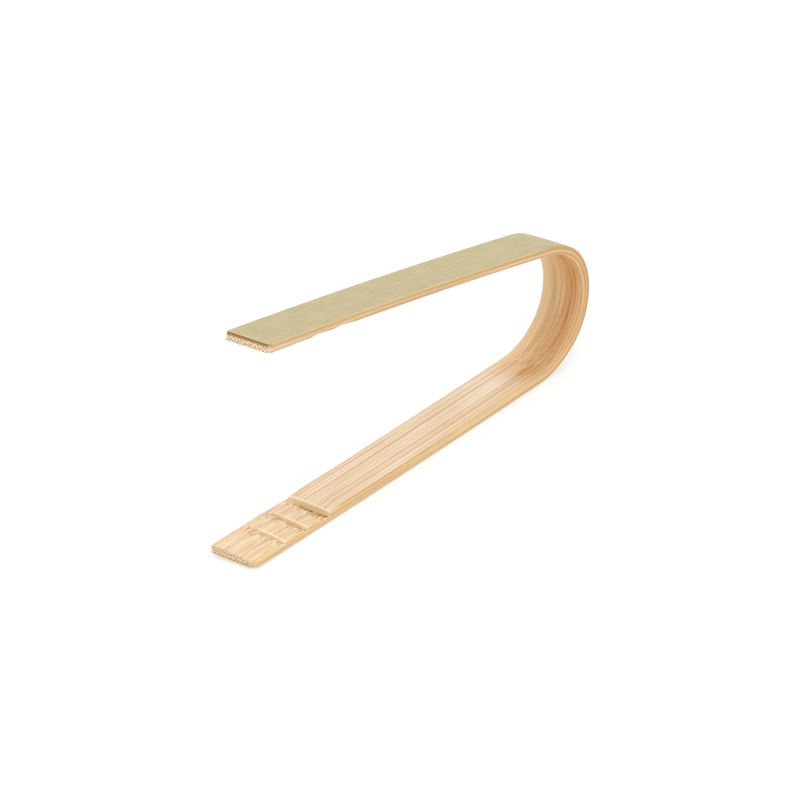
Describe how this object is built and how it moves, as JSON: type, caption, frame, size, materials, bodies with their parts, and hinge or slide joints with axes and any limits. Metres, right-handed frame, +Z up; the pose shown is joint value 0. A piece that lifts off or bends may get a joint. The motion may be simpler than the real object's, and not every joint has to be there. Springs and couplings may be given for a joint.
{
  "type": "print tongs",
  "caption": "Spring tongs bent from one bamboo strip into a U, with toothed inner faces at both tips, for lifting sheets and prints.",
  "frame": {"origin": "middle of the footprint, on the flat stretch of the lower arm's outer face that the tongs rest on", "axes": "+X from the tips to the bow along the lower arm, +Y across the width of the strip, +Z up from the lower arm to the upper arm"},
  "size_m": [0.1606, 0.015, 0.0655],
  "materials": {
    "bamboo_wood": "matte",
    "bamboo_skin": "satin"
  },
  "bodies": {
    "lower_arm": {"lower_jaw": "bamboo_wood", "lower_arm": "bamboo_wood", "lower_skin": "bamboo_skin"},
    "bow_lower": {"bow_link_1": "bamboo_wood", "bow_skin_1": "bamboo_skin"},
    "bow_upper": {"bow_link_2": "bamboo_wood", "bow_skin_2": "bamboo_skin"},
    "upper_arm": {"upper_arm": "bamboo_wood", "upper_jaw": "bamboo_wood", "upper_skin": "bamboo_skin"}
  },
  "joints": [
    {"name": "flex_1", "type": "hinge", "parent": "lower_arm", "child": "bow_lower", "pos_m": [0.04469, 0, 0.00199], "axis": [0, -1, 0], "range_deg": [-2, 6.8], "stiffness_Nm_per_rad": 3.8},
    {"name": "flex_2", "type": "hinge", "parent": "bow_lower", "child": "bow_upper", "pos_m": [0.0787, 0, 0.01968], "axis": [0, -1, 0], "range_deg": [-3.2, 10.88], "stiffness_Nm_per_rad": 3.8},
    {"name": "flex_3", "type": "hinge", "parent": "bow_upper", "child": "upper_arm", "pos_m": [0.04971, 0, 0.04365], "axis": [0, -1, 0], "range_deg": [-2.18, 7.41], "stiffness_Nm_per_rad": 3.8}
  ],
  "couplings": [
    {"joint": "flex_2", "follows": "flex_1", "ratio": 1.6},
    {"joint": "flex_3", "follows": "flex_1", "ratio": 1.09}
  ]
}
